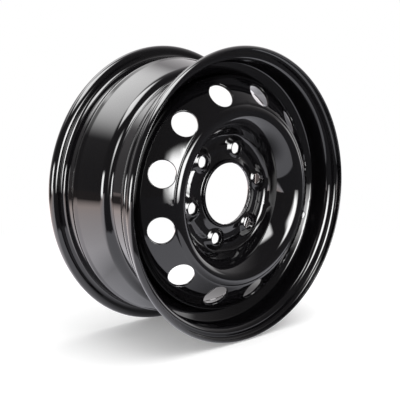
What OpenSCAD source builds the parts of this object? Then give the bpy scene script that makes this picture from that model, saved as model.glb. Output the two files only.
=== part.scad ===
// Pressed steel wheel: a rolled rim, a pressed disc and the fillet welds between them.
// Lengths are in millimetres and angles in degrees.
// The wheel stands on its flanges. Its axle lies along Y, its outer face looks toward -Y,
// and its origin is the wheel's centre, halfway between the flanges.

/* [Rim flanges] */
// Diameter of the bead seats, measured at the flange walls
seat_d = 405.6; // [400:0.1:412]
// Width between the flange walls
rim_w = 165; // [160:1:185]
// Height of a flange above its bead seat
flange_h = 17.3; // [16.5:0.1:19]
// Radius of the flange curl, on the tyre side
curl_r = 9; // [7:0.5:9.5]
// Angle by which the curl goes on past its crown
curl_angle = 50; // [20:1:70]
// Straight length at the end of the curl
curl_lip = 1.5; // [0.5:0.5:4]
// Radius between the flange wall and the bead seat
heel_r = 6.5; // [4:0.5:7]
// Thickness of the rim's sheet
rim_t = 2.5; // [2:0.1:3.2]

/* [Bead seats] */
// Width of a bead seat, from the flange wall to the foot of the hump
seat_w = 20; // [18:0.5:21]
// Taper of a bead seat
seat_taper = 5; // [3:0.5:6]
// Distance from the foot of the hump to its crest
hump_w = 4; // [3.5:0.1:5]
// Height of the hump's crest above its foot
hump_h = 1.45; // [1:0.05:1.8]
// Radius of the hump's crest
hump_r = 7; // [4:0.5:8]
// Radius at the foot of the hump
hump_foot_r = 4; // [2:0.5:6]

/* [Drop well] */
// Depth of the well's floor below the bead seats
well_depth = 22.8; // [19:0.1:26]
// Distance of the well's outer corner from the centre plane
well_out = 40; // [36:0.5:42]
// Distance of the well's inner corner from the centre plane
well_in = 3.5; // [0:0.5:6]
// Radius of the well's two corners
well_r = 7; // [5:0.5:8]
// Steepness of the outer side of the well
front_angle = 65; // [60:1:70]
// Drop from the outer hump's crest to the top of the well's outer side
front_drop = 3; // [2:0.5:5]
// Radius at the top of the well's outer side
front_r = 8; // [5:0.5:10]
// Steepness of the inner side of the well
step_angle = 60; // [52:1:66]
// Height of the step on the inner side of the well
step_h = 9.9; // [9:0.1:12]
// Radius at the top of the step
step_r = 14; // [8:0.5:14]
// Distance from the inner hump's crest to the start of the long taper
taper_start = 7.5; // [5:0.5:10]
// Drop from the inner hump's crest to the start of the long taper
taper_drop = 2.5; // [1.5:0.1:4]
// Radius where the inner hump runs into the long taper
taper_r = 12; // [6:1:20]
// Diameter of the valve hole
valve_d = 11.5; // [8:0.1:12]
// Angle of the valve hole from the horizontal
valve_angle = -17; // [-45:1:45]

/* [Disc bowl] */
// Thickness of the disc's sheet
disc_t = 4.2; // [3:0.1:4.6]
// Diameter of the crown's top
crown_d = 257.4; // [248:0.2:262]
// Distance of the crown's top from the centre plane
crown_out = 92.8; // [88:0.2:96]
// Radius of the crown on the bowl's side
crown_r = 18.5; // [12:0.5:20]
// Steepness of the bowl's wall
wall_angle = 62; // [58:0.5:66]
// Radius between the bowl's wall and the contact ring
bowl_r = 14; // [8:0.5:14]
// Radius of the ridge on the crown's outer side
ridge_r = 5; // [4.8:0.1:6]
// Steepness of the ridge's outer side
ridge_angle = 40; // [36:1:44]
// Height of the ridge above the shelf beside it
ridge_h = 1.74; // [1.7:0.02:2.6]
// Radius at the foot of the ridge
ridge_foot_r = 3; // [1:0.1:3]

/* [Vent slope] */
// Distance from the crown's top to the start of the vent slope
shelf_run = 9.6; // [8.8:0.1:11]
// Steepness of the shelf
shelf_angle = 10; // [6:1:14]
// Radius between the shelf and the vent slope
shelf_r = 7; // [4:0.5:8]
// Steepness of the vent slope
slope_angle = 37.5; // [34:0.5:40]
// Number of vents
vent_count = 12; // [6:1:12]
// Diameter of a vent
vent_d = 39; // [20:0.5:40]
// Distance of the vents' circle inward from the middle of the slope
vent_shift = 3.9; // [2:0.1:5]
// Radius between the vent slope and the skirt
skirt_r = 14; // [8:0.5:16]
// Distance of the skirt's inner edge from the centre plane
skirt_in = 14; // [13.5:0.5:22]

/* [Hub] */
// Diameter of the hub bore
bore_d = 93.1; // [70:0.1:96]
// Distance of the contact ring's inner face from the centre plane
wheel_offset = 42.8; // [40:0.1:48]
// Height of the nut ring above the contact ring
nut_ring_h = 3; // [2:0.1:4]
// Inner diameter of the nut ring's flat
nut_ring_in = 124; // [122:0.5:128]
// Outer diameter of the nut ring's flat
nut_ring_out = 145; // [140:0.5:148]
// Steepness of the nut ring's outer side
nut_ring_angle = 38; // [32:1:44]
// Radius along the nut ring's outer edge
nut_ring_r = 6; // [4.5:0.5:8]
// Radius at the foot of the nut ring
nut_foot_r = 4; // [2:0.5:5]
// Steepness of the rise from the nut ring to the collar
rise_angle = 12; // [6:1:16]
// Radius between the nut ring and the rise
rise_r = 12; // [6:1:20]
// Height of the collar's end above the nut ring
collar_h = 7.5; // [6.5:0.5:12]
// Radius at the foot of the collar
collar_r = 2; // [1:0.5:2.5]

/* [Nut seats] */
// Number of nut seats
lug_count = 6; // [4:1:6]
// Diameter of the circle through the nut seats' centres
lug_pcd = 139.7; // [136:0.1:142]
// Angle of the first nut seat from the horizontal
lug_angle = 73; // [0:1:90]
// Diameter of a stud hole
lug_d = 16; // [12:0.1:17]
// Included angle of a nut seat's cone
seat_angle = 60; // [50:1:90]
// Depth of a nut seat's cone
seat_depth = 3.6; // [2:0.1:4]
// Height of a boss above the nut ring
boss_h = 4.5; // [4:0.1:6]
// Diameter of a boss's top
boss_d = 24; // [22:0.5:28]
// Steepness of a boss's side
boss_angle = 40; // [34:1:50]
// Depth of the hollow behind a boss
hollow_depth = 2.5; // [1:0.1:3]
// Diameter of the hollow's floor
hollow_d = 26; // [24:0.5:28]

/* [Welds] */
// Number of weld arcs
weld_count = 8; // [4:1:10]
// Angle that each weld arc covers
weld_span = 24; // [10:1:30]
// Leg length of the weld's section
weld_leg = 3.8; // [2:0.1:4]

/* [Hidden] */
// Largest angle between two points of a round section
arc_step = 9;
// Points along the round face of a weld
weld_steps = 6;
// Distance under which two points are the same
same = 0.001;
// Length by which a cut runs past a surface
past = 10;
$fn = 96;
black_paint = "#151416";
weld_paint = "#1d1c1f";

// Sections are drawn as [distance from the axle, distance toward the outer face]
seat_r = seat_d / 2;
wall_out = rim_w / 2;
flange_r = seat_r + flange_h;
hump_foot = seat_r - seat_w * tan(seat_taper);
hump_crest = hump_foot + hump_h;
crest_out = wall_out - seat_w - hump_w;
well_radius = seat_r - well_depth;
front_top = hump_crest - front_drop;
front_out = well_out + (front_top - well_radius) / tan(front_angle);
skirt_radius = well_radius - rim_t;

// Directions and points
function at(c) = [c[0], c[1]];
function unit(v) = v / norm(v);
function left_of(d) = [-d[1], d[0]];
function right_of(d) = [d[1], -d[0]];
function turned(d, a) = d * cos(a) + left_of(d) * sin(a);

// The round bend at corner b between a and c, as [point, direction through the sheet]
function bend(a, b, c) =
    let (
        u = unit(at(b) - at(a)),
        v = unit(at(c) - at(b)),
        turn = atan2(u[0] * v[1] - u[1] * v[0], u * v),
        arm = sign(turn) * b[2],
        centre = at(b) - u * b[2] * tan(abs(turn) / 2) + left_of(u) * arm,
        steps = max(1, ceil(abs(turn) / arc_step))
    )
    [
        for (i = [0 : steps])
            let (d = turned(u, turn * i / steps))
            [centre - left_of(d) * arm, right_of(d)]
    ];

// One face of a sheet along corners of [distance from the axle, distance out, bend radius]
function face(c) =
    let (
        last = len(c) - 1,
        raw = [
            [at(c[0]), right_of(unit(at(c[1]) - at(c[0])))],
            for (i = [1 : last - 1]) each bend(c[i - 1], c[i], c[i + 1]),
            [at(c[last]), right_of(unit(at(c[last]) - at(c[last - 1])))]
        ]
    )
    [
        for (i = [0 : len(raw) - 1])
            if (i == 0 || norm(raw[i][0] - raw[max(i - 1, 0)][0]) > same) raw[i]
    ];

// The closed section of a sheet of thickness t on the right of that face
function sheet(c, t) =
    let (f = face(c))
    [
        for (p = f) p[0],
        for (i = [len(f) - 1 : -1 : 0]) f[i][0] + t * f[i][1]
    ];

// The flange curl and heel of the outer side, from the lip to the bead seat
curl_run = curl_r * tan(curl_angle / 2);
curl_out = wall_out + curl_r + curl_run;
lip_run = curl_run + curl_lip;
flange_corners = [
    [flange_r - lip_run * sin(curl_angle), curl_out + lip_run * cos(curl_angle), 0],
    [flange_r, curl_out, curl_r],
    [flange_r, wall_out, curl_r],
    [seat_r, wall_out, heel_r],
    [hump_foot, crest_out + hump_w, hump_foot_r],
    [hump_crest, crest_out, hump_r]
];

// The rim's tyre side, from the outer lip to the inner lip
taper_top = [hump_crest - taper_drop, taper_start - crest_out];
step_top = [well_radius + step_h, well_in - step_h / tan(step_angle)];
last_corner = len(flange_corners) - 1;
rim_corners = [
    each flange_corners,
    [front_top, front_out, front_r],
    [well_radius, well_out, well_r],
    [well_radius, well_in, well_r],
    [step_top[0], step_top[1], step_r],
    [taper_top[0], taper_top[1], taper_r],
    for (i = [last_corner : -1 : 0])
        let (c = flange_corners[i]) [c[0], -c[1], c[2]]
];

// The disc's outer face, from the collar's end to the skirt's inner edge
ring_out = wheel_offset + disc_t;
nut_out = ring_out + nut_ring_h;
collar_radius = bore_d / 2 + disc_t;
nut_in_radius = nut_ring_in / 2;
nut_out_radius = nut_ring_out / 2;
crown_radius = crown_d / 2;
wall_top = crown_radius - crown_r * tan(wall_angle / 2);
wall_foot = wall_top - (crown_out - ring_out) / tan(wall_angle);
ridge_top = crown_radius + ridge_r * tan(ridge_angle / 2);
ridge_foot = ridge_top + ridge_h / tan(ridge_angle);
shelf_radius = crown_radius + shelf_run;
shelf_out = crown_out - ridge_h - (shelf_radius - ridge_foot) * tan(shelf_angle);
vent_radius = (shelf_radius + skirt_radius) / 2 - vent_shift;
function slope_at(r) = shelf_out - (r - shelf_radius) * tan(slope_angle);
disc_corners = [
    [collar_radius, nut_out + collar_h, 0],
    [collar_radius, nut_out + (nut_in_radius - collar_radius) * tan(rise_angle), collar_r],
    [nut_in_radius, nut_out, rise_r],
    [nut_out_radius, nut_out, nut_ring_r],
    [nut_out_radius + nut_ring_h / tan(nut_ring_angle), ring_out, nut_foot_r],
    [wall_foot, ring_out, bowl_r],
    [wall_top, crown_out, crown_r],
    [ridge_top, crown_out, ridge_r],
    [ridge_foot, crown_out - ridge_h, ridge_foot_r],
    [shelf_radius, shelf_out, shelf_r],
    [skirt_radius, slope_at(skirt_radius), skirt_r],
    [skirt_radius, skirt_in, 0]
];

// Turns a solid drawn around Z, with its outer face up, onto the wheel's axle
module on_axle() {
    rotate([90, 0, 0]) children();
}

// Places a child at each of count equal steps around the axle
module around(count, radius, first) {
    for (i = [0 : count - 1])
        rotate([0, 0, first + i * 360 / count])
            translate([radius, 0, 0]) children();
}

// The valve hole, square to the middle of the well's outer side
module valve_hole() {
    mid_r = (front_top + well_radius) / 2;
    mid_out = (front_out + well_out) / 2;
    rotate([0, 0, valve_angle])
        translate([mid_r, 0, mid_out])
            rotate([0, front_angle - 90, 0])
                cylinder(h = 2 * past, d = valve_d, center = true);
}

module rim() {
    color(black_paint)
        on_axle()
            difference() {
                rotate_extrude($fn = 180) polygon(sheet(rim_corners, rim_t));
                valve_hole();
            }
}

// A boss for one nut, from inside the sheet up to its top
module boss() {
    foot = ring_out - disc_t / 2;
    top = nut_out + boss_h;
    translate([0, 0, foot])
        cylinder(h = top - foot, d1 = boss_d + 2 * (top - foot) / tan(boss_angle), d2 = boss_d);
}

// The stud hole, the coned seat and the hollow behind one boss
module nut_seat() {
    top = nut_out + boss_h;
    back = nut_out - disc_t;
    throat = top - seat_depth;
    spread = 2 * tan(seat_angle / 2);
    translate([0, 0, back - past])
        cylinder(h = top - back + 2 * past, d = lug_d);
    translate([0, 0, throat])
        cylinder(h = seat_depth + past, d1 = lug_d, d2 = lug_d + (seat_depth + past) * spread);
    translate([0, 0, back - hollow_depth])
        cylinder(h = 2 * hollow_depth, d1 = hollow_d + 4 * hollow_depth / tan(boss_angle), d2 = hollow_d);
}

// One vent, punched square to the slope
module vent() {
    translate([0, 0, slope_at(vent_radius)])
        rotate([0, slope_angle, 0])
            cylinder(h = 2 * past, d = vent_d, center = true);
}

module disc() {
    color(black_paint)
        on_axle()
            difference() {
                union() {
                    rotate_extrude($fn = 180) polygon(sheet(disc_corners, disc_t));
                    around(lug_count, lug_pcd / 2, lug_angle) boss();
                }
                around(lug_count, lug_pcd / 2, lug_angle) nut_seat();
                around(vent_count, vent_radius, lug_angle) vent();
            }
}

// The weld's section in the corner between the skirt's edge and the well's floor
weld_section = [
    [skirt_radius, skirt_in],
    for (i = [0 : weld_steps])
        let (a = 90 * i / weld_steps)
        [skirt_radius - weld_leg * cos(a), skirt_in - weld_leg * sin(a)]
];

module weld_beads() {
    color(weld_paint)
        on_axle()
            for (i = [0 : weld_count - 1])
                rotate([0, 0, valve_angle + (i + 0.5) * 360 / weld_count - weld_span / 2])
                    rotate_extrude(angle = weld_span, $fn = 180) polygon(weld_section);
}

rim();
disc();
weld_beads();
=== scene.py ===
import cmath
import math

import bpy
from mathutils import Euler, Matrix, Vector


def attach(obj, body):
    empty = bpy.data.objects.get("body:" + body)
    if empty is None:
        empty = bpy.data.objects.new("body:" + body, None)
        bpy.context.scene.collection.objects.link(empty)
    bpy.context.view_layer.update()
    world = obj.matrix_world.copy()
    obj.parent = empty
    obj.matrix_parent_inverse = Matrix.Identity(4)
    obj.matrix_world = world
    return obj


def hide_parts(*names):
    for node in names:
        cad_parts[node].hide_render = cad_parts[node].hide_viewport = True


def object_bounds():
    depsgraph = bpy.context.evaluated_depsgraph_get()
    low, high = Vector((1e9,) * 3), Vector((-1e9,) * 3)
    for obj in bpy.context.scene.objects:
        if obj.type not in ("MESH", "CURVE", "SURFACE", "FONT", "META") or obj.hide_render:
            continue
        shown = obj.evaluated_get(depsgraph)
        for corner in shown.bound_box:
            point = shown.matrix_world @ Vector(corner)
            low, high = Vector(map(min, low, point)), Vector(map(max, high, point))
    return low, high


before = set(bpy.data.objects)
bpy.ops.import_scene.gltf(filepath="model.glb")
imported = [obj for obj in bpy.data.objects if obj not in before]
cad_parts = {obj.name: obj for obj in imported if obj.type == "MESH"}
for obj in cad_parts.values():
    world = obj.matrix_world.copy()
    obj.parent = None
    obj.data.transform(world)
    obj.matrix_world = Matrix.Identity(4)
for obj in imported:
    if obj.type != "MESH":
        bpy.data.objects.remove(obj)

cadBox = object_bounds()
mm = 0.001
seamGap = 0.005 * mm  # merges the seams of one patch
joinGap = 0.02 * mm  # merges patches with the spun sheet
samePlace = 0.01  # mm, nearer points of a section count as one
edgeSteps = 4
fewestSteps = 2  # in a bend
quarterTurns = [math.pi / 2 * k / edgeSteps for k in range(edgeSteps + 1)]
print("frame loaded:", sorted(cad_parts))


# shared helpers

def linear(hexColour):
    parts = [int(hexColour[i:i + 2], 16) / 255 for i in (1, 3, 5)]
    return [p / 12.92 if p <= 0.04045 else ((p + 0.055) / 1.055) ** 2.4 for p in parts] + [1]


def addNode(tree, kind, settings, links=None):
    node = tree.nodes.new(kind)
    for name, value in settings.items():
        if isinstance(name, str) and hasattr(node, name):
            setattr(node, name, value)
        else:
            node.inputs[name].default_value = value
    for name, source in (links or {}).items():
        tree.links.new(source, node.inputs[name])
    return node


def emptyMaterial(name):
    material = bpy.data.materials.new(name)
    material.use_nodes = True
    material.node_tree.nodes.clear()
    return material


def tan(degrees):
    return math.tan(math.radians(degrees))


def between(near, far, share):
    return [a + (b - a) * share for a, b in zip(near, far)]


def evenSteps(low, high, steps):
    return [low + (high - low) * k / steps for k in range(steps + 1)]


def startFresh():
    if bpy.context.object and bpy.context.object.mode != "OBJECT":
        bpy.ops.object.mode_set(mode="OBJECT")
    bpy.ops.object.select_all(action="DESELECT")


def onWheel(radius, out, angle):
    # a place on the wheel in metres: out is the distance toward the outer face
    return Vector((radius * math.cos(angle), -out, radius * math.sin(angle))) * mm


# sections are complex numbers in mm: distance from the axle + distance out along it

def bendPoints(before, corner, after, arcStep):
    place, radius = complex(corner[0], corner[1]), corner[2]
    arrive = place - complex(before[0], before[1])
    leave = complex(after[0], after[1]) - place
    arrive, leave = arrive / abs(arrive), leave / abs(leave)
    turn = cmath.phase(leave / arrive)
    arm = math.copysign(radius, turn)
    centre = place - arrive * radius * math.tan(abs(turn) / 2) + 1j * arrive * arm
    steps = max(fewestSteps, math.ceil(math.degrees(abs(turn)) / arcStep))
    ways = [arrive * cmath.exp(1j * turn * i / steps) for i in range(steps + 1)]
    return [(centre - 1j * way * arm, -1j * way) for way in ways]


def sheetFace(corners, detail):
    # one face of a sheet as (place, direction through the sheet), with loops close to each bend
    support = detail["support"]
    shortRun = 2.5 * support  # no room for loops of its own
    runs = [bendPoints(corners[i - 1], corners[i], corners[i + 1], detail["arcStep"])
            for i in range(1, len(corners) - 1)]
    firstEnd = (complex(*corners[0][:2]), runs[0][0][1])
    lastEnd = (complex(*corners[-1][:2]), runs[-1][-1][1])
    runs = [[firstEnd]] + runs + [[lastEnd]]
    points = list(runs[0])
    for run, following in zip(runs, runs[1:]):
        start, end = run[-1], following[0]
        length = abs(end[0] - start[0])
        if length < samePlace:
            points.pop()
        elif length >= shortRun:
            inner = max(1, math.ceil((length - 2 * support) / detail["straightStep"]))
            for k in range(inner + 1):
                share = (support + (length - 2 * support) * k / inner) / length
                points.append((start[0] + (end[0] - start[0]) * share, start[1]))
        points += following
    return points


def sheetEnd(face, backward, sheet):
    # the rounded edge at one end of a sheet, from its front to its back
    thickness, edge = sheet["thickness"], sheet["edge"]
    place, through = face[0] if backward else face[-1]
    outward = 1j * through * (-1 if backward else 1)
    front = [place - outward * edge * (1 - math.sin(turn)) + through * edge * (1 - math.cos(turn))
             for turn in quarterTurns]
    back = [place - outward * edge * (1 - math.cos(turn))
            + through * (thickness - edge * (1 - math.sin(turn))) for turn in quarterTurns]
    return front + back


def sheetLoop(face, sheet, cutOuts):
    # the closed section, each place marked False where a punched strip takes over
    def kept(i):
        return not any(first < i < last for first, last in cutOuts)
    last = len(face) - 1
    loop = [(face[i][0], kept(i)) for i in range(1, last)]
    loop += [(place, True) for place in sheetEnd(face, False, sheet)]
    loop += [(face[i][0] + sheet["thickness"] * face[i][1], kept(i)) for i in range(last - 1, 0, -1)]
    loop += [(place, True) for place in reversed(sheetEnd(face, True, sheet))]
    return loop


def spinSection(name, loop, steps, start, turn=math.tau):
    # a section is drawn at its start angle, loses its punched strips, and is spun around the axle
    startFresh()
    bpy.ops.mesh.primitive_circle_add(vertices=len(loop), radius=1)
    piece = bpy.context.object
    piece.name = piece.data.name = name
    bpy.ops.object.mode_set(mode="EDIT")
    bpy.ops.mesh.select_mode(type="VERT")
    bpy.ops.mesh.select_all(action="DESELECT")
    bpy.ops.object.mode_set(mode="OBJECT")
    for vertex, (place, kept) in zip(piece.data.vertices, loop):
        vertex.co = onWheel(place.real, place.imag, start)
        vertex.select = not kept
    bpy.ops.object.mode_set(mode="EDIT")
    bpy.ops.mesh.delete(type="VERT")
    bpy.ops.mesh.select_all(action="SELECT")
    bpy.ops.mesh.spin(steps=steps, angle=-turn, center=(0, 0, 0), axis=(0, -1, 0))
    bpy.ops.object.mode_set(mode="OBJECT")
    return piece


def wrapGrid(name, rows, copies=1):
    # a flat grid laid along rows of places, then repeated around the axle
    startFresh()
    across = len(rows[0])
    bpy.ops.mesh.primitive_grid_add(x_subdivisions=across - 1, y_subdivisions=len(rows) - 1, size=1)
    piece = bpy.context.object
    piece.name = piece.data.name = name
    places = [place for row in rows for place in row]
    for vertex, place in zip(piece.data.vertices, places):
        vertex.co = place
    bpy.ops.object.mode_set(mode="EDIT")
    bpy.ops.mesh.select_all(action="SELECT")
    bpy.ops.mesh.remove_doubles(threshold=seamGap)
    if copies > 1:
        bpy.ops.mesh.spin(steps=copies, angle=math.tau, dupli=True, center=(0, 0, 0), axis=(0, -1, 0))
        bpy.ops.mesh.select_all(action="SELECT")
        bpy.ops.mesh.remove_doubles(threshold=seamGap)
    bpy.ops.object.mode_set(mode="OBJECT")
    return piece


def joinPieces(first, others):
    # one closed mesh, smooth, with its faces outward
    startFresh()
    for piece in [first] + others:
        piece.select_set(True)
    bpy.context.view_layer.objects.active = first
    bpy.ops.object.join()
    bpy.ops.object.mode_set(mode="EDIT")
    bpy.ops.mesh.select_all(action="SELECT")
    bpy.ops.mesh.remove_doubles(threshold=joinGap)
    bpy.ops.mesh.normals_make_consistent(inside=False)
    bpy.ops.object.mode_set(mode="OBJECT")
    bpy.ops.object.shade_smooth()
    return first


def finishPiece(piece, node, material):
    piece.data.materials.clear()
    piece.data.materials.append(material)
    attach(piece, "root")
    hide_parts(node)
    print(node, "done:", len(piece.data.polygons), "faces")


# holes and raised seats in a strip of a pressed sheet

searchMargin = 2.0  # mm past the strip's ends
searchSteps = 34


def stripBetween(face, innerRadius, outerRadius):
    # the run of a face that climbs from one radius to the other
    first = next(i for i in range(len(face)) if face[i][0].real > innerRadius) - 1
    last = next(i for i in range(first, len(face)) if face[i][0].real >= outerRadius)
    return first, last


def surfaceAt(face, first, last, radius):
    # the face and the direction through it at one radius of a strip that climbs steadily outward
    if radius <= face[first][0].real:
        return face[first]
    for i in range(first, last):
        near, far = face[i], face[i + 1]
        if radius <= far[0].real:
            share = (radius - near[0].real) / (far[0].real - near[0].real)
            place, through = between(near, far, share)
            return place, through / abs(through)
    return face[last]


def sectorOf(holes):
    # the first of several holes around the axle, with its share of the full turn
    return dict(holes, middleAngle=math.radians(holes["firstAngle"]), halfAngle=math.pi / holes["count"])


def frameRing(sideRadii, halfAngle, acrossSteps):
    # the border of one sector as (radius, angle): across its far side, down, back across and up
    across = evenSteps(-halfAngle, halfAngle, acrossSteps)
    ring = [(sideRadii[-1], angle) for angle in across[:0:-1]]
    ring += [(radius, -halfAngle) for radius in sideRadii[:0:-1]]
    ring += [(sideRadii[0], angle) for angle in across[:-1]]
    ring += [(radius, halfAngle) for radius in sideRadii[:-1]]
    return ring + ring[:1]


def punchedSector(face, strip, thickness, hole):
    # rows of places from the border of the front, over the hole's edge and wall, to the border of the back
    first, last = strip
    middle, through = surfaceAt(face, first, last, hole["radiusFromAxle"])
    slope = through * 1j  # along the slope, away from the axle
    if slope.real < 0:
        slope = -slope
    sides = [place.real for place, _ in face[first:last + 1]]
    if "sideSteps" in hole:
        sides = evenSteps(sides[0], sides[-1], hole["sideSteps"])
    ring = frameRing(sides, hole["halfAngle"], hole["acrossSteps"])

    def flat(radius, angle):
        # as seen square to the slope, from the hole's middle
        place = surfaceAt(face, first, last, radius)[0]
        offset = complex(place.real * math.cos(angle), place.imag) - middle
        return complex(place.real * math.sin(angle), (offset * slope.conjugate()).real)

    def unflat(target):
        low, high = face[first][0].real - searchMargin, face[last][0].real + searchMargin
        for _ in range(searchSteps):
            radius = (low + high) / 2
            angle = math.asin(target.real / radius)
            if flat(radius, angle).imag < target.imag:
                low = radius
            else:
                high = radius
        return radius, angle

    def solid(radius, angle, depth):
        place, inward = surfaceAt(face, first, last, radius)
        place += inward * depth
        return onWheel(place.real, place.imag, hole["middleAngle"] + angle)

    edge, holeRadius = hole["edge"], hole["diameter"] / 2
    spokes = [flat(*corner) for corner in ring]
    spokes = [spoke / abs(spoke) for spoke in spokes]
    lipRing = [unflat(spoke * (holeRadius + edge)) for spoke in spokes]
    throatRing = [unflat(spoke * holeRadius) for spoke in spokes]

    def sheetRow(share, depth):
        return [solid(*between(lip, corner, share), depth) for lip, corner in zip(lipRing, ring)]

    def edgeRow(turn, back):
        down = edge * (1 - math.cos(turn))
        depth = thickness - down if back else down
        share = math.sin(turn)
        return [solid(*between(lip, throat, share), depth) for lip, throat in zip(lipRing, throatRing)]

    rings, turns = hole["rings"], quarterTurns[1:]
    shares = [(1 - k / rings) ** hole["ringSpread"] for k in range(rings)] + [hole["lipShare"], 0]
    rows = [sheetRow(share, 0) for share in shares]
    rows += [edgeRow(turn, False) for turn in turns]
    rows += [edgeRow(turn, True) for turn in reversed(turns)]
    rows += [sheetRow(share, thickness) for share in reversed(shares)]
    return rows


def softRamp(distance, width):
    # zero, then a straight climb, with a round start
    if distance < -width:
        return 0.0
    return distance if distance > width else (distance + width) ** 2 / (4 * width)


def bossSector(face, strip, thickness, boss):
    # rows of places over one raised nut seat, through its stud hole and across its hollow back
    first, last = strip
    back = [(place + thickness * through, through) for place, through in face]
    centre = complex(boss["radiusFromAxle"], 0)

    def border(side):
        sides = evenSteps(side[first][0].real, side[last][0].real, boss["sideSteps"])
        ring = frameRing(sides, boss["halfAngle"], boss["acrossSteps"])
        return [cmath.rect(radius, angle) - centre for radius, angle in ring]

    def sheetOut(side, plan):
        return surfaceAt(side, first, last, abs(plan + centre))[0].imag

    def raised(side, plan, top, width):
        base = sheetOut(side, plan)
        cone = top - softRamp(abs(plan) - width / 2, boss["topBend"]) * tan(boss["sideAngle"])
        blend = max(boss["footBend"] - abs(base - cone), 0)
        return max(base, cone) + blend ** 2 / (4 * boss["footBend"])

    def place(plan, out):
        spot = plan + centre
        return onWheel(abs(spot), out, boss["middleAngle"] + cmath.phase(spot))

    def pressedRows(side, top, width, inner):
        rows, corners = [], border(side)
        for k in range(boss["rings"] + 1):
            share = (1 - k / boss["rings"]) ** boss["ringSpread"]
            plans = [corner / abs(corner) * (inner + (abs(corner) - inner) * share) for corner in corners]
            outs = [raised(side, plan, top, width) if k else sheetOut(side, plan) for plan in plans]
            rows.append([place(plan, out) for plan, out in zip(plans, outs)])
        return rows

    top, hole, backTop = boss["topOut"], boss["holeDiameter"] / 2, boss["backOut"]
    seatEdge = hole + boss["seatDepth"] * tan(boss["seatAngle"] / 2)
    frontInner = boss["topDiameter"] / 2 - boss["topInset"]
    backInner = boss["backDiameter"] / 2 - boss["backInset"]
    throat = sheetFace([
        (frontInner, top, 0),
        (seatEdge, top, boss["seatEdgeBend"]),
        (hole, top - boss["seatDepth"], boss["seatFootBend"]),
        (hole, backTop, boss["holeEndBend"]),
        (backInner, backTop, 0),
    ], boss)
    spokes = [corner / abs(corner) for corner in border(face)]
    rows = pressedRows(face, top, boss["topDiameter"], frontInner)
    rows += [[place(spoke * spot.real, spot.imag) for spoke in spokes] for spot, _ in throat[1:-1]]
    return rows + pressedRows(back, backTop, boss["backDiameter"], backInner)[::-1]


# gloss black baked enamel on steel: sprayed, so deep black with crisp mirror highlights that waver
# slightly over a fine orange peel, and a thin haze of dust that dulls the gloss in soft patches

blackEnamel = {
    "deepColour": "#0a090b", "hazeColour": "#100f11", "gloss": 0.03, "dull": 0.055, "ior": 1.52,
    "peelWidth": 4.0,  # mm, wide enough to show in the render
    "peelDepth": 0.002,  # mm
    "peelDetail": 2.0, "peelRoughness": 0.45,
    "hazeWidth": 60.0,  # mm
    "hazeDetail": 5.0, "hazeRoughness": 0.6, "hazeLow": 0.35, "hazeHigh": 0.75,
}


def enamelPaint(name, look):
    material = emptyMaterial(name)
    tree = material.node_tree
    coords = addNode(tree, "ShaderNodeTexCoord", {}).outputs["Object"]
    peel = addNode(tree, "ShaderNodeTexNoise",
                   {"Scale": 1 / (look["peelWidth"] * mm), "Detail": look["peelDetail"],
                    "Roughness": look["peelRoughness"]}, {"Vector": coords})
    haze = addNode(tree, "ShaderNodeTexNoise",
                   {"Scale": 1 / (look["hazeWidth"] * mm), "Detail": look["hazeDetail"],
                    "Roughness": look["hazeRoughness"]}, {"Vector": coords})
    tone = addNode(tree, "ShaderNodeMix",
                   {"data_type": "RGBA", "A": linear(look["deepColour"]), "B": linear(look["hazeColour"])},
                   {"Factor": haze.outputs["Fac"]})
    gloss = addNode(tree, "ShaderNodeMapRange",
                    {"From Min": look["hazeLow"], "From Max": look["hazeHigh"], "To Min": look["gloss"],
                     "To Max": look["dull"]}, {"Value": haze.outputs["Fac"]})
    bump = addNode(tree, "ShaderNodeBump", {"Strength": 1.0, "Distance": look["peelDepth"] * mm},
                   {"Height": peel.outputs["Fac"]})
    shader = addNode(tree, "ShaderNodeBsdfPrincipled", {"IOR": look["ior"]},
                     {"Base Color": tone.outputs["Result"], "Roughness": gloss.outputs["Result"],
                      "Normal": bump.outputs["Normal"]})
    addNode(tree, "ShaderNodeOutputMaterial", {}, {"Surface": shader.outputs["BSDF"]})
    return material


enamel = enamelPaint("glossBlackEnamel", blackEnamel)


# rolled rim, in mm and degrees

rimSheet = {
    "seatRadius": 202.8, "flangeHeight": 17.3, "wallOut": 82.5, "curlRadius": 9.0, "curlAngle": 50.0,
    "curlLip": 1.5, "heelRadius": 6.5, "thickness": 2.5, "seatWidth": 20.0, "seatTaper": 5.0,
    "humpWidth": 4.0, "humpHeight": 1.45, "humpRadius": 7.0, "humpFootRadius": 4.0,
    "wellRadius": 180.0, "wellOut": 40.0, "wellIn": 3.5, "wellBend": 7.0, "frontAngle": 65.0,
    "frontDrop": 3.0, "frontBend": 8.0, "stepAngle": 60.0, "stepHeight": 9.9, "stepBend": 14.0,
    "taperStart": 7.5, "taperDrop": 2.5, "taperBend": 12.0, "edge": 0.9,
    "steps": 208, "arcStep": 6.0, "support": 0.6, "straightStep": 16.0,
}
valveHole = {
    "diameter": 11.5, "edge": 0.5, "angle": -17.0, "footGap": 0.3, "topGap": 0.4,
    "acrossSteps": 10, "rings": 6, "ringSpread": 1.6, "lipShare": 0.03,
}


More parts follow.
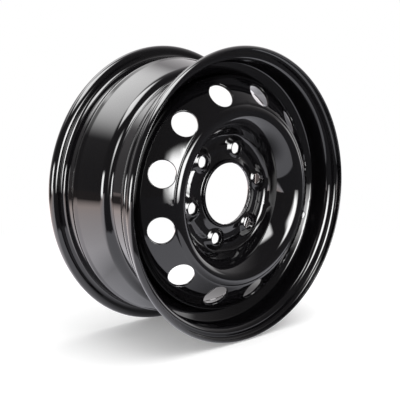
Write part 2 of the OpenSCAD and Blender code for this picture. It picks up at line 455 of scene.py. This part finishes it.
def rimCorners(s):
    flange = s["seatRadius"] + s["flangeHeight"]
    curlRun = s["curlRadius"] * tan(s["curlAngle"] / 2)
    curlOut = s["wallOut"] + s["curlRadius"] + curlRun
    lipRun = (curlRun + s["curlLip"]) * cmath.exp(1j * math.radians(90 + s["curlAngle"]))
    humpFoot = s["seatRadius"] - s["seatWidth"] * tan(s["seatTaper"])
    crest = humpFoot + s["humpHeight"]
    crestOut = s["wallOut"] - s["seatWidth"] - s["humpWidth"]
    frontTop = crest - s["frontDrop"]
    frontOut = s["wellOut"] + (frontTop - s["wellRadius"]) / tan(s["frontAngle"])
    stepOut = s["wellIn"] - s["stepHeight"] / tan(s["stepAngle"])
    side = [
        (flange + lipRun.real, curlOut + lipRun.imag, 0),
        (flange, curlOut, s["curlRadius"]),
        (flange, s["wallOut"], s["curlRadius"]),
        (s["seatRadius"], s["wallOut"], s["heelRadius"]),
        (humpFoot, crestOut + s["humpWidth"], s["humpFootRadius"]),
        (crest, crestOut, s["humpRadius"]),
    ]
    frontWall = [(frontTop, frontOut, s["frontBend"]), (s["wellRadius"], s["wellOut"], s["wellBend"])]
    well = [
        (s["wellRadius"], s["wellIn"], s["wellBend"]),
        (s["wellRadius"] + s["stepHeight"], stepOut, s["stepBend"]),
        (crest - s["taperDrop"], s["taperStart"] - crestOut, s["taperBend"]),
    ]
    return side + frontWall + well + [(r, -out, bend) for r, out, bend in reversed(side)], frontWall


rimOutline, (frontTop, frontFoot) = rimCorners(rimSheet)
rimFace = sheetFace(rimOutline, rimSheet)
valveTurn = math.tau / rimSheet["steps"] * valveHole["acrossSteps"]
valveAngle = math.radians(valveHole["angle"])

# the valve hole goes through the well's front wall, which climbs when the face is read backward
climbing = rimFace[::-1]
frontMiddle = complex(frontTop[0] + frontFoot[0], frontTop[1] + frontFoot[1]) / 2
nearest = min(range(len(climbing)), key=lambda i: abs(climbing[i][0] - frontMiddle))
stripLow, stripHigh = frontFoot[0] + valveHole["footGap"], frontTop[0] - valveHole["topGap"]
valveFirst = next(i for i in range(nearest, 0, -1) if climbing[i - 1][0].real < stripLow)
valveLast = next(i for i in range(nearest, len(climbing)) if climbing[i][0].real > stripHigh)
ends = len(rimFace) - 1
fullLoop = sheetLoop(rimFace, rimSheet, [])
openLoop = sheetLoop(rimFace, rimSheet, [(ends - valveLast, ends - valveFirst)])
rim = spinSection("rimSteel", fullLoop, rimSheet["steps"] - valveHole["acrossSteps"],
                  valveAngle + valveTurn / 2, math.tau - valveTurn)
rimGap = spinSection("rimGap", openLoop, valveHole["acrossSteps"], valveAngle - valveTurn / 2, valveTurn)
valveSector = dict(valveHole, radiusFromAxle=frontMiddle.real, middleAngle=valveAngle,
                   halfAngle=valveTurn / 2)
valveRows = punchedSector(climbing, (valveFirst, valveLast), rimSheet["thickness"], valveSector)
valvePatch = wrapGrid("valvePatch", valveRows)
rim = joinPieces(rim, [rimGap, valvePatch])
finishPiece(rim, "rim", enamel)


# pressed disc, in mm and degrees

discSheet = {
    "thickness": 4.2, "crownRadius": 126.4, "crownOut": 92.9, "crownBend": 18.0, "shoulderAngle": 41.0,
    "wallBend": 66.0, "wallAngle": 66.0, "bowlBend": 9.0,
    "ridgeBend": 11.5, "ridgeAngle": 42.0, "ridgeFootBend": 1.2,
    "shelfRadius": 137.2, "shelfAngle": 8.0, "shelfBend": 3.0,
    "slopeInner": 31.0, "slopeOuter": 42.0, "slopeBend": 130.0, "ventRadius": 154.0, "ventOut": 78.0,
    "skirtRadius": 177.5, "skirtBend": 14.0, "skirtIn": 14.0,
    "boreRadius": 46.55, "ringBack": 42.8, "nutRingHeight": 3.0, "nutRingIn": 62.0, "nutRingOut": 72.5,
    "nutRingAngle": 38.0, "nutRingBend": 3.0, "nutFootBend": 3.0, "riseAngle": 12.0, "riseBend": 12.0,
    "collarHeight": 7.5, "collarBend": 2.0, "edge": 0.9,
    "steps": 192, "arcStep": 4.0, "support": 0.5, "straightStep": 6.0,
}
vents = {
    "count": 12, "firstAngle": 73.0, "diameter": 39.0, "edge": 0.8, "stripIn": 135.6, "stripOut": 172.4,
    "acrossSteps": 16, "sideSteps": 9, "rings": 9, "ringSpread": 1.6, "lipShare": 0.03,
}
nutSeats = {
    "count": 6, "firstAngle": 73.0, "radiusFromAxle": 69.85, "stripIn": 53.3, "stripOut": 94.5,
    "topOut": 53.8, "topDiameter": 22.4, "topInset": 0.8, "topBend": 1.2, "sideAngle": 33.0, "footBend": 1.2,
    "seatAngle": 60.0, "seatDepth": 3.6, "seatEdgeBend": 0.3, "seatFootBend": 0.5,
    "holeDiameter": 16.0, "holeEndBend": 0.6, "backOut": 48.3, "backDiameter": 26.0, "backInset": 1.0,
    "acrossSteps": 32, "sideSteps": 12, "rings": 16, "ringSpread": 1.7,
    "arcStep": 15.0, "support": 0.15, "straightStep": 1.2,
}


def discCorners(s):
    ringOut = s["ringBack"] + s["thickness"]
    nutOut = ringOut + s["nutRingHeight"]
    collar = s["boreRadius"] + s["thickness"]
    # bowl wall, its wide bend and the crown
    crownRun = s["crownBend"] * tan(s["shoulderAngle"] / 2)
    shoulderRun = crownRun + s["wallBend"] * tan((s["wallAngle"] - s["shoulderAngle"]) / 2)
    crown = complex(s["crownRadius"] - crownRun, s["crownOut"])
    shoulder = crown - cmath.rect(shoulderRun, math.radians(s["shoulderAngle"]))
    wallFoot = shoulder.real - (shoulder.imag - ringOut) / tan(s["wallAngle"])
    # vent slope, bent evenly around the vents
    turn = (s["slopeOuter"] - s["slopeInner"]) / 2
    sag = s["slopeBend"] * (1 / math.cos(math.radians(turn)) - 1)
    kink = complex(s["ventRadius"], s["ventOut"]) + cmath.rect(sag, math.radians(90 - s["slopeInner"] - turn))
    shelfOut = kink.imag + (kink.real - s["shelfRadius"]) * tan(s["slopeInner"])
    skirtTop = kink.imag - (s["skirtRadius"] - kink.real) * tan(s["slopeOuter"])
    # ridge and shelf
    ridgeSlope, shelfSlope = tan(s["ridgeAngle"]), tan(s["shelfAngle"])
    ridgeTop = s["crownRadius"] + s["ridgeBend"] * tan(s["ridgeAngle"] / 2)
    ridgeFoot = s["crownOut"] - shelfOut + ridgeTop * ridgeSlope - s["shelfRadius"] * shelfSlope
    ridgeFoot /= ridgeSlope - shelfSlope
    ridgeFootOut = s["crownOut"] - (ridgeFoot - ridgeTop) * ridgeSlope
    return [
        (collar, nutOut + s["collarHeight"], 0),
        (collar, nutOut + (s["nutRingIn"] - collar) * tan(s["riseAngle"]), s["collarBend"]),
        (s["nutRingIn"], nutOut, s["riseBend"]),
        (s["nutRingOut"], nutOut, s["nutRingBend"]),
        (s["nutRingOut"] + s["nutRingHeight"] / tan(s["nutRingAngle"]), ringOut, s["nutFootBend"]),
        (wallFoot, ringOut, s["bowlBend"]),
        (shoulder.real, shoulder.imag, s["wallBend"]),
        (crown.real, crown.imag, s["crownBend"]),
        (ridgeTop, s["crownOut"], s["ridgeBend"]),
        (ridgeFoot, ridgeFootOut, s["ridgeFootBend"]),
        (s["shelfRadius"], shelfOut, s["shelfBend"]),
        (kink.real, kink.imag, s["slopeBend"]),
        (s["skirtRadius"], skirtTop, s["skirtBend"]),
        (s["skirtRadius"], s["skirtIn"], 0),
    ]


discFace = sheetFace(discCorners(discSheet), discSheet)
nutStrip = stripBetween(discFace, nutSeats["stripIn"], nutSeats["stripOut"])
ventStrip = stripBetween(discFace, vents["stripIn"], vents["stripOut"])
discLoop = sheetLoop(discFace, discSheet, [nutStrip, ventStrip])
ventBorder = math.radians(vents["firstAngle"] - 180 / vents["count"])
disc = spinSection("discSteel", discLoop, discSheet["steps"], ventBorder)
ventSector = dict(sectorOf(vents), radiusFromAxle=discSheet["ventRadius"])
ventRows = punchedSector(discFace, ventStrip, discSheet["thickness"], ventSector)
ventRing = wrapGrid("ventRing", ventRows, vents["count"])
nutRows = bossSector(discFace, nutStrip, discSheet["thickness"], sectorOf(nutSeats))
nutRing = wrapGrid("nutRing", nutRows, nutSeats["count"])
disc = joinPieces(disc, [ventRing, nutRing])
finishPiece(disc, "disc", enamel)


# fillet welds between the skirt's edge and the well, in mm and degrees

welds = {
    "count": 8, "span": 24.0, "leg": 3.8, "pitch": 2.4, "ripple": 0.28, "endRun": 3.0,
    "lag": 0.6,  # how far each ripple trails at the bead's borders, as a share of the pitch
    "roundSteps": 8, "stepsPerRipple": 6,
}


def weldRows(s, radius, out, middle):
    length = math.radians(s["span"]) * radius
    steps = round(length / s["pitch"] * s["stepsPerRipple"])
    rows = []
    for k in range(steps + 1):
        along = length * k / steps
        angle = middle + along / radius - length / radius / 2
        fromEnd = min(along, length - along, s["endRun"]) / s["endRun"]
        swell = math.sqrt(1 - (1 - fromEnd) ** 2)
        row = []
        for share in evenSteps(0, 1, s["roundSteps"]):
            trail = s["pitch"] * s["lag"] * (2 * share - 1) ** 2
            wave = 0.5 + 0.5 * math.cos(math.tau * (along + trail) / s["pitch"])
            leg = swell * (s["leg"] - s["ripple"] * wave * math.sin(math.pi * share))
            way = cmath.rect(leg, math.pi / 2 * share)
            row.append(onWheel(radius - way.real, out - way.imag, angle))
        corner = onWheel(radius, out, angle)
        rows.append([corner] + row + [corner])
    return rows


firstWeld = valveAngle + math.pi / welds["count"]
beadRows = weldRows(welds, discSheet["skirtRadius"], discSheet["skirtIn"], firstWeld)
weldBead = joinPieces(wrapGrid("weldBeads", beadRows, welds["count"]), [])
finishPiece(weldBead, "weld_beads", enamel)


# studio in metres: pale floor, softboxes, dark walls that only the gloss sees

scene = bpy.context.scene
scene.view_settings.view_transform = "Standard"

shot = {
    "azimuth": -42.741, "elevation": 8.5675, "distance": 1.4622, "yaw": -0.1542, "pitch": -0.6397,
    "lens": 84.94, "sensor": 36, "clipStart": 0.05,
}


def placeCamera(s):
    around, up = math.radians(s["azimuth"]), math.radians(s["elevation"])
    back = Vector((math.sin(around) * math.cos(up), -math.cos(around) * math.cos(up), math.sin(up)))
    right = Vector((math.cos(around), math.sin(around), 0))
    above = back.cross(right)
    look = -back + right * tan(s["yaw"]) + above * tan(s["pitch"])
    bpy.ops.object.camera_add(location=back * s["distance"])
    camera = bpy.context.object
    camera.rotation_euler = look.to_track_quat("-Z", "Y").to_euler()
    camera.data.lens = s["lens"]
    camera.data.sensor_width = s["sensor"]
    camera.data.clip_start = s["clipStart"]
    scene.camera = camera


placeCamera(shot)

# a softbox faces the wheel unless it has a toward, and soft is the width of its fading borders
softboxes = {
    "frontLeft": {"middle": (-0.30, -1.64, 0.32), "size": (1.39, 1.29), "radiance": 24.0, "soft": (0.4, 0.4)},
    "left": {"middle": (-1.30, 0.02, 0.10), "size": (0.56, 0.5), "radiance": 20.0, "soft": (0.10, 0.12)},
    "overhead": {"middle": (-0.61, -0.10, 1.40), "toward": (0, 0, -1), "turn": 47.0, "size": (1.37, 1.17),
                 "radiance": 15.0, "soft": (0.3, 0.3)},
    "back": {"middle": (-0.45, 1.15, 1.45), "toward": (0, 0, -1), "size": (3.0, 1.6), "radiance": 8.0,
             "soft": (1.45, 0.75)},
    "right": {"middle": (1.9, -0.6, 0.15), "size": (1.2, 0.7), "radiance": 2.0, "soft": (0.2, 0.2)},
}
keyLamp = {"middle": (0.1, -0.4, 1.7), "size": (2.2, 2.2), "radiance": 1.8}


def facing(s):
    way = Vector(s["toward"]) if "toward" in s else -Vector(s["middle"])
    spun = Euler((0, 0, math.radians(s.get("turn", 0)))).to_quaternion()
    return (way.to_track_quat("-Z", "Y") @ spun).to_euler()


def glossOnly(thing):
    # seen only in the paint's gloss
    thing.visible_camera = False
    thing.visible_diffuse = False
    thing.visible_shadow = False
    thing.visible_transmission = False


def addSoftbox(name, s):
    startFresh()
    bpy.ops.mesh.primitive_plane_add(size=1, location=s["middle"], rotation=facing(s))
    card = bpy.context.object
    card.name = name
    card.scale = (s["size"][0], s["size"][1], 1)
    bpy.ops.object.transform_apply(location=False, rotation=False, scale=True)
    material = emptyMaterial(name + "Glow")
    tree = material.node_tree
    coords = addNode(tree, "ShaderNodeTexCoord", {}).outputs["Object"]
    parts = addNode(tree, "ShaderNodeSeparateXYZ", {}, {0: coords})
    borders = []
    for axis, length, soft in zip("XY", s["size"], s["soft"]):
        away = addNode(tree, "ShaderNodeMath", {"operation": "ABSOLUTE"}, {0: parts.outputs[axis]})
        border = addNode(tree, "ShaderNodeMapRange",
                         {"interpolation_type": "SMOOTHSTEP", "From Min": length / 2 - soft,
                          "From Max": length / 2, "To Min": 1.0, "To Max": 0.0},
                         {"Value": away.outputs["Value"]})
        borders.append(border.outputs["Result"])
    level = addNode(tree, "ShaderNodeMath", {"operation": "MULTIPLY"}, {0: borders[0], 1: borders[1]})
    glow = addNode(tree, "ShaderNodeMath", {"operation": "MULTIPLY", 1: s["radiance"]},
                   {0: level.outputs["Value"]})
    shine = addNode(tree, "ShaderNodeEmission", {}, {"Strength": glow.outputs["Value"]})
    clear = addNode(tree, "ShaderNodeBsdfTransparent", {})
    both = addNode(tree, "ShaderNodeAddShader", {}, {0: shine.outputs["Emission"], 1: clear.outputs["BSDF"]})
    addNode(tree, "ShaderNodeOutputMaterial", {}, {"Surface": both.outputs["Shader"]})
    card.data.materials.append(material)
    glossOnly(card)


def addKey(s):
    startFresh()
    bpy.ops.object.light_add(type="AREA", location=s["middle"], rotation=facing(s))
    lamp = bpy.context.object
    lamp.name = "key"
    lamp.data.shape = "RECTANGLE"
    lamp.data.size, lamp.data.size_y = s["size"]
    lamp.data.energy = s["radiance"] * math.pi * s["size"][0] * s["size"][1]
    lamp.visible_camera = False
    lamp.visible_glossy = False


for name, softbox in softboxes.items():
    addSoftbox(name, softbox)
addKey(keyLamp)

backWay = (0.62, 0.78, 0.0)  # away from the camera, where the room is lit
standing = cadBox[0][2]
floorLook = {
    "size": 12.0, "colour": "#f4f4f4", "lift": 0.22, "whiteFrom": 0.35, "whiteTo": 0.9,
    # in the gloss: a lit patch around the wheel, a brighter stretch to its left and one behind it
    "glow": 1.8, "reach": 0.45, "fade": 0.04, "farGlow": 0.16, "nearTint": "#f7f7ff",
    "sideWay": (-0.5, 0.866, 0.0), "sideGlow": 4.2, "sideStart": 0.1, "sideFade": 0.2,
    "sideEnd": 0.9, "sideEndFade": 0.54, "sideFar": 0.05, "sideTint": "#ffeeea",
    "backGlow": 1.4, "backStart": 0.35, "backFade": 0.3,
    # and the wheel's own shadow
    "shadeShape": (1.0, 0.6, 0.0), "shadeFrom": 0.03, "shadeTo": 0.2, "shadeLevel": 0.12,
}


def addFloor(s):
    startFresh()
    bpy.ops.mesh.primitive_plane_add(size=s["size"], location=(0, 0, standing))
    floor = bpy.context.object
    floor.name = "floor"
    material = emptyMaterial("paperFloor")
    tree = material.node_tree
    coords = addNode(tree, "ShaderNodeTexCoord", {}).outputs["Object"]
    path = addNode(tree, "ShaderNodeLightPath", {})
    far = addNode(tree, "ShaderNodeVectorMath", {"operation": "LENGTH"}, {0: coords})
    # pale paper, a little brighter for the camera, that turns white farther out
    paper = addNode(tree, "ShaderNodeBsdfDiffuse", {"Color": linear(s["colour"])})
    lift = addNode(tree, "ShaderNodeMath", {"operation": "MULTIPLY", 1: s["lift"]},
                   {0: path.outputs["Is Camera Ray"]})
    lifting = addNode(tree, "ShaderNodeEmission", {}, {"Strength": lift.outputs["Value"]})
    lit = addNode(tree, "ShaderNodeAddShader", {}, {0: paper.outputs["BSDF"], 1: lifting.outputs["Emission"]})
    white = addNode(tree, "ShaderNodeEmission", {"Strength": 1.0})
    fade = addNode(tree, "ShaderNodeMapRange",
                   {"interpolation_type": "SMOOTHSTEP", "From Min": s["whiteFrom"], "From Max": s["whiteTo"]},
                   {"Value": far.outputs["Value"]})
    seen = addNode(tree, "ShaderNodeMixShader", {},
                   {0: fade.outputs["Result"], 1: lit.outputs["Shader"], 2: white.outputs["Emission"]})
    # the lit patch and stretches, as the gloss mirrors them
    table = addNode(tree, "ShaderNodeMapRange",
                    {"From Min": s["reach"], "From Max": s["reach"] + s["fade"], "To Min": s["glow"],
                     "To Max": s["farGlow"]}, {"Value": far.outputs["Value"]})
    sideways = addNode(tree, "ShaderNodeVectorMath", {"operation": "DOT_PRODUCT", 1: s["sideWay"]},
                       {0: coords})
    side = addNode(tree, "ShaderNodeMapRange",
                   {"interpolation_type": "SMOOTHSTEP", "From Min": s["sideStart"],
                    "From Max": s["sideStart"] + s["sideFade"], "To Max": s["sideGlow"]},
                   {"Value": sideways.outputs["Value"]})
    inside = addNode(tree, "ShaderNodeMapRange",
                     {"From Min": s["sideEnd"], "From Max": s["sideEnd"] + s["sideEndFade"], "To Min": 1.0,
                      "To Max": s["sideFar"]}, {"Value": sideways.outputs["Value"]})
    within = addNode(tree, "ShaderNodeMath", {"operation": "MULTIPLY"},
                     {0: side.outputs["Result"], 1: inside.outputs["Result"]})
    near = addNode(tree, "ShaderNodeMath", {"operation": "MAXIMUM"},
                   {0: table.outputs["Result"], 1: within.outputs["Value"]})
    backward = addNode(tree, "ShaderNodeVectorMath", {"operation": "DOT_PRODUCT", 1: backWay}, {0: coords})
    behind = addNode(tree, "ShaderNodeMapRange",
                     {"interpolation_type": "SMOOTHSTEP", "From Min": s["backStart"],
                      "From Max": s["backStart"] + s["backFade"], "To Max": s["backGlow"]},
                     {"Value": backward.outputs["Value"]})
    shown = addNode(tree, "ShaderNodeMath", {"operation": "MAXIMUM"},
                    {0: near.outputs["Value"], 1: behind.outputs["Result"]})
    # the wheel's own shadow, as the gloss mirrors it
    squeezed = addNode(tree, "ShaderNodeVectorMath", {"operation": "MULTIPLY", 1: s["shadeShape"]},
                       {0: coords})
    under = addNode(tree, "ShaderNodeVectorMath", {"operation": "LENGTH"}, {0: squeezed.outputs["Vector"]})
    shade = addNode(tree, "ShaderNodeMapRange",
                    {"interpolation_type": "SMOOTHSTEP", "From Min": s["shadeFrom"], "From Max": s["shadeTo"],
                     "To Min": s["shadeLevel"]}, {"Value": under.outputs["Value"]})
    shaded = addNode(tree, "ShaderNodeMath", {"operation": "MULTIPLY"},
                     {0: shown.outputs["Value"], 1: shade.outputs["Result"]})
    # cool near the wheel, warm far to the left
    warmth = addNode(tree, "ShaderNodeMapRange", {"From Min": s["sideStart"], "From Max": s["sideEnd"]},
                     {"Value": sideways.outputs["Value"]})
    tint = addNode(tree, "ShaderNodeMix",
                   {"data_type": "RGBA", "A": linear(s["nearTint"]), "B": linear(s["sideTint"])},
                   {"Factor": warmth.outputs["Result"]})
    mirrored = addNode(tree, "ShaderNodeEmission", {},
                       {"Color": tint.outputs["Result"], "Strength": shaded.outputs["Value"]})
    both = addNode(tree, "ShaderNodeMixShader", {},
                   {0: path.outputs["Is Glossy Ray"], 1: seen.outputs["Shader"],
                    2: mirrored.outputs["Emission"]})
    addNode(tree, "ShaderNodeOutputMaterial", {}, {"Surface": both.outputs["Shader"]})
    floor.data.materials.append(material)


addFloor(floorLook)

darkRoom = {
    "radius": 5.0, "segments": 32, "rings": 16, "colour": "#fcf8fa", "front": 0.14, "back": 1.1,
    "dimTo": -0.26, "brightFrom": 0.9,  # shares of the radius, along the way back
}


def addDarkRoom(s):
    startFresh()
    bpy.ops.mesh.primitive_uv_sphere_add(segments=s["segments"], ring_count=s["rings"], radius=s["radius"])
    room = bpy.context.object
    room.name = "darkRoom"
    material = emptyMaterial("darkWall")
    tree = material.node_tree
    coords = addNode(tree, "ShaderNodeTexCoord", {}).outputs["Object"]
    backward = addNode(tree, "ShaderNodeVectorMath", {"operation": "DOT_PRODUCT", 1: backWay}, {0: coords})
    level = addNode(tree, "ShaderNodeMapRange",
                    {"interpolation_type": "SMOOTHSTEP", "From Min": s["dimTo"] * s["radius"],
                     "From Max": s["brightFrom"] * s["radius"], "To Min": s["front"], "To Max": s["back"]},
                    {"Value": backward.outputs["Value"]})
    wall = addNode(tree, "ShaderNodeEmission", {"Color": linear(s["colour"])},
                   {"Strength": level.outputs["Result"]})
    addNode(tree, "ShaderNodeOutputMaterial", {}, {"Surface": wall.outputs["Emission"]})
    room.data.materials.append(material)
    glossOnly(room)


addDarkRoom(darkRoom)

worldLook = {"colour": "#ffffff", "fill": 0.8, "seen": 1.0}


def setWorld(s):
    # white where it is seen or mirrored, dimmer as a fill light
    world = bpy.data.worlds.new("studio")
    scene.world = world
    world.use_nodes = True
    tree = world.node_tree
    tree.nodes.clear()
    path = addNode(tree, "ShaderNodeLightPath", {})
    mirror = addNode(tree, "ShaderNodeMath", {"operation": "MAXIMUM"},
                     {0: path.outputs["Is Glossy Ray"], 1: path.outputs["Is Transmission Ray"]})
    seen = addNode(tree, "ShaderNodeMath", {"operation": "MAXIMUM"},
                   {0: path.outputs["Is Camera Ray"], 1: mirror.outputs["Value"]})
    level = addNode(tree, "ShaderNodeMapRange", {"To Min": s["fill"], "To Max": s["seen"]},
                    {"Value": seen.outputs["Value"]})
    sky = addNode(tree, "ShaderNodeBackground", {"Color": linear(s["colour"])},
                  {"Strength": level.outputs["Result"]})
    addNode(tree, "ShaderNodeOutputWorld", {}, {"Surface": sky.outputs["Background"]})


setWorld(worldLook)
print("studio set")
